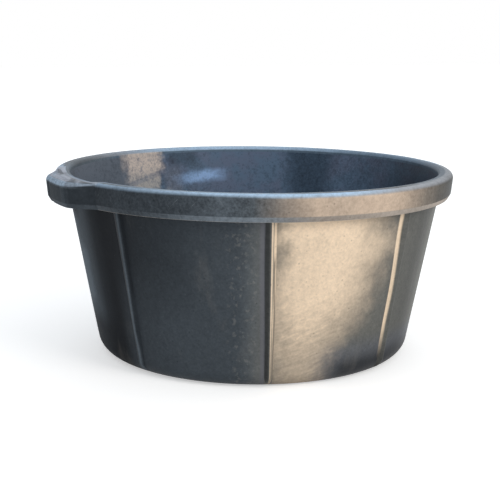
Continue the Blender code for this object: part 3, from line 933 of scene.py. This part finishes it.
def liner_material():
    g = Graph("liner_rubber_looks")
    around = wrapped(g, g.total(g.azimuth, g.swing(g.noise(16, 5.0, shift=4.0), 7.0)))
    # Bloom on the inside, its amount round the pan and its blue tints painted sky reflection
    film = g.levels(around, (0, 0.3), (110, 0.28), (120, 0.42), (128, 0.60), (137, 0.74), (147, 0.95), (154, 0.50),
                    (164, 0.48), (170, 1.0), (190, 1.0), (203, 0.92), (209, 1.00), (216, 0.85), (236, 0.96),
                    (258, 0.96), (300, 0.4), (360, 0.3))
    high = g.product(g.zone(around, 198, 203, 211, 215), g.step(g.height, 0.246, 0.266), 0.45)
    film = g.product(film, g.without(high))
    upper = g.step(g.height, 0.13, 0.20)
    film = g.total(g.product(film, upper), g.product(g.without(upper), 0.62))
    cloud = g.step(g.noise(24, 4.0, shift=9.0), 0.38, 0.62)
    tint = g.blend(cloud, LINER_BLUE, LINER_CLOUD)
    tint = g.blend(g.product(g.step(around, 226, 236), upper), tint, LINER_LEFT)
    tint = g.blend(g.zone(around, 149, 155, 164, 171), tint, LINER_DARK)
    beside_patch = g.product(g.zone(around, 206, 210, 213, 217), g.step(g.height, 0.266, 0.240))
    tint = g.blend(beside_patch, tint, LINER_PALE)
    # A painted warm reflection high on the inside
    patch, patch_tint = inner_warm_reflection(g, around)
    ragged = g.total(around, g.swing(g.noise(42, 5.0, shift=11.0), 8.0))
    rise = g.math("SUBTRACT", g.total(g.height, g.swing(g.noise(60, 4.0, shift=2.0), 0.012)),
                  g.product(g.math("SUBTRACT", 198.0, around), 0.00042))
    # A painted sheen: the sky's reflection in a tilted streak
    sheen = g.product(g.zone(ragged, 187, 198, 202, 213), g.zone(rise, 0.221, 0.234, 0.237, 0.251))
    finish_rubber(g, [(film, tint, 1.8, 0.10), (sheen, SHEEN, 1.8, 0.05), (patch, patch_tint, 2.8, 0.25)],
                  rough=0.36, specular=0.09)
    return g.material


def base_material():
    g = Graph("base_rubber_looks")
    finish_rubber(g, [(0.30, PALE_BLOOM, 1.0, 0.10)], rough=0.60)
    return g.material


def cord_material(name, colour):
    """Coated cord fabric: close parallel cords under a thin skin of rubber."""
    g = Graph(name)
    cords = g.tree.nodes.new("ShaderNodeTexWave")
    g.join(g.place, cords.inputs["Vector"])
    cords.inputs["Scale"].default_value = CORD_SCALE
    cords.inputs["Distortion"].default_value = 1.2
    fuzz = g.noise(FUZZ_SCALE, 4.0)
    lit = g.product(cords.outputs["Fac"], g.total(0.6, g.swing(fuzz, 0.5)))
    tone = g.blend(lit, tuple(c * 0.4 for c in colour), colour)
    g.join(tone, g.shader.inputs["Base Color"])
    g.join(g.total(0.75, g.swing(fuzz, 0.2)), g.shader.inputs["Roughness"])
    g.bump(cords.outputs["Fac"], CORD_RELIEF)
    return g.material


def dress_node(name, material):
    """Give a CAD node that stays visible a better material."""
    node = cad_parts[name]
    for slot in node.material_slots:
        slot.material = material


def build_pan():
    link_piece("pan_outer_cover", cover_mesh(), cover_material(), ["outer_cover"])
    link_piece("pan_inner_liner", liner_mesh(), liner_material(), ["inner_liner"])
    link_piece("pan_rim_band", rim_mesh(), rim_material(), ["rim_band"])
    link_piece("pan_grip_lug", lug_mesh(), lug_material(), ["grip_lug"])
    ribs = rib_material()
    for i in range(RIB_COUNT):
        middle = math.radians(RIB_FIRST + 360 * i / RIB_COUNT)
        rib = rib_mesh(middle, RIB_SHIFTS[i], RIB_LEANS[i], RIB_RELIEFS[i])
        link_piece(f"pan_rib_{i + 1}", rib, ribs, [f"wall_rib_{i + 1}"])
    dress_node("base_disc", base_material())
    dress_node("wall_cord_ply", cord_material("wall_cord_looks", WALL_CORD))
    dress_node("floor_cord_ply", cord_material("floor_cord_looks", FLOOR_CORD))


def to_part_frame(x, y, z):
    """From the camera's frame, whose -Y faces the camera, to the part's."""
    return Matrix.Rotation(VIEW_TURN, 3, "Z") @ Vector((x, y, z))


def add_camera():
    place = to_part_frame(0.0, -CAMERA_BACK, CAMERA_HEIGHT)
    forward = to_part_frame(math.sin(YAW) * math.cos(PITCH), math.cos(YAW) * math.cos(PITCH), -math.sin(PITCH))
    level_right = forward.cross(Vector((0, 0, 1))).normalized()
    level_up = level_right.cross(forward)
    right = level_right * math.cos(ROLL) + level_up * math.sin(ROLL)
    up = level_up * math.cos(ROLL) - level_right * math.sin(ROLL)
    data = bpy.data.cameras.new("camera")
    data.sensor_width = SENSOR
    data.lens = SENSOR * FOCAL_PIXELS / PHOTO_PIXELS
    camera = bpy.data.objects.new("camera", data)
    turn = Matrix((right, up, -forward)).transposed()
    camera.matrix_world = Matrix.Translation(place) @ turn.to_4x4()
    bpy.context.scene.collection.objects.link(camera)
    bpy.context.scene.camera = camera


def add_lamp(name, place, size, radiance, colour):
    """A soft rectangular lamp in the camera's frame; radiance 1 looks as bright as white paper."""
    data = bpy.data.lights.new(name, "AREA")
    data.shape = "RECTANGLE"
    data.size, data.size_y = size
    data.energy = radiance * math.pi * size[0] * size[1]
    data.color = colour
    lamp = bpy.data.objects.new(name, data)
    lamp.location = to_part_frame(*place)
    lamp.rotation_euler = (to_part_frame(*LAMP_AIM) - lamp.location).to_track_quat("-Z", "Y").to_euler()
    lamp.visible_camera = False
    bpy.context.scene.collection.objects.link(lamp)


def seen_ray(tree):
    """1 for what the camera sees, directly, in a reflection or through something, and 0 for light on things."""
    path = tree.nodes.new("ShaderNodeLightPath")
    value = path.outputs["Is Camera Ray"]
    for other in ("Is Glossy Ray", "Is Transmission Ray"):
        either = tree.nodes.new("ShaderNodeMath")
        either.operation = "MAXIMUM"
        tree.links.new(value, either.inputs[0])
        tree.links.new(path.outputs[other], either.inputs[1])
        value = either.outputs[0]
    return value


def add_floor():
    mesh = bpy.data.meshes.new("floor")
    corners = [(-FLOOR_HALF, -FLOOR_HALF, 0), (FLOOR_HALF, -FLOOR_HALF, 0),
               (FLOOR_HALF, FLOOR_HALF, 0), (-FLOOR_HALF, FLOOR_HALF, 0)]
    mesh.from_pydata(corners, [], [(0, 1, 2, 3)])
    floor = bpy.data.objects.new("floor", mesh)
    material = bpy.data.materials.new("pale_floor")
    tree, output = cleared(material, "ShaderNodeOutputMaterial")
    matt = tree.nodes.new("ShaderNodeBsdfDiffuse")
    matt.inputs["Color"].default_value = FLOOR_COLOUR
    glow = tree.nodes.new("ShaderNodeEmission")
    glow.inputs["Strength"].default_value = FLOOR_GLOW
    both = tree.nodes.new("ShaderNodeAddShader")
    tree.links.new(matt.outputs[0], both.inputs[0])
    tree.links.new(glow.outputs[0], both.inputs[1])
    mix = tree.nodes.new("ShaderNodeMixShader")
    tree.links.new(seen_ray(tree), mix.inputs[0])
    tree.links.new(matt.outputs[0], mix.inputs[1])
    tree.links.new(both.outputs[0], mix.inputs[2])
    tree.links.new(mix.outputs[0], output.inputs["Surface"])
    mesh.materials.append(material)
    bpy.context.scene.collection.objects.link(floor)


def add_world():
    """White where it is seen, directly or in a reflection, and a softer light elsewhere."""
    world = bpy.data.worlds.new("studio")
    tree, output = cleared(world, "ShaderNodeOutputWorld")
    light = tree.nodes.new("ShaderNodeBackground")
    light.inputs["Color"].default_value = WORLD_COLOUR
    light.inputs["Strength"].default_value = WORLD_LIGHT
    white = tree.nodes.new("ShaderNodeBackground")
    white.inputs["Color"].default_value = (1.0, 1.0, 1.0, 1.0)
    mix = tree.nodes.new("ShaderNodeMixShader")
    tree.links.new(seen_ray(tree), mix.inputs[0])
    tree.links.new(light.outputs[0], mix.inputs[1])
    tree.links.new(white.outputs[0], mix.inputs[2])
    tree.links.new(mix.outputs[0], output.inputs["Surface"])
    bpy.context.scene.world = world


def build_studio():
    add_camera()
    add_floor()
    add_world()
    for name, lamp in LAMPS.items():
        add_lamp(name, *lamp)
    bpy.context.scene.view_settings.view_transform = "Standard"


build_pan()
build_studio()
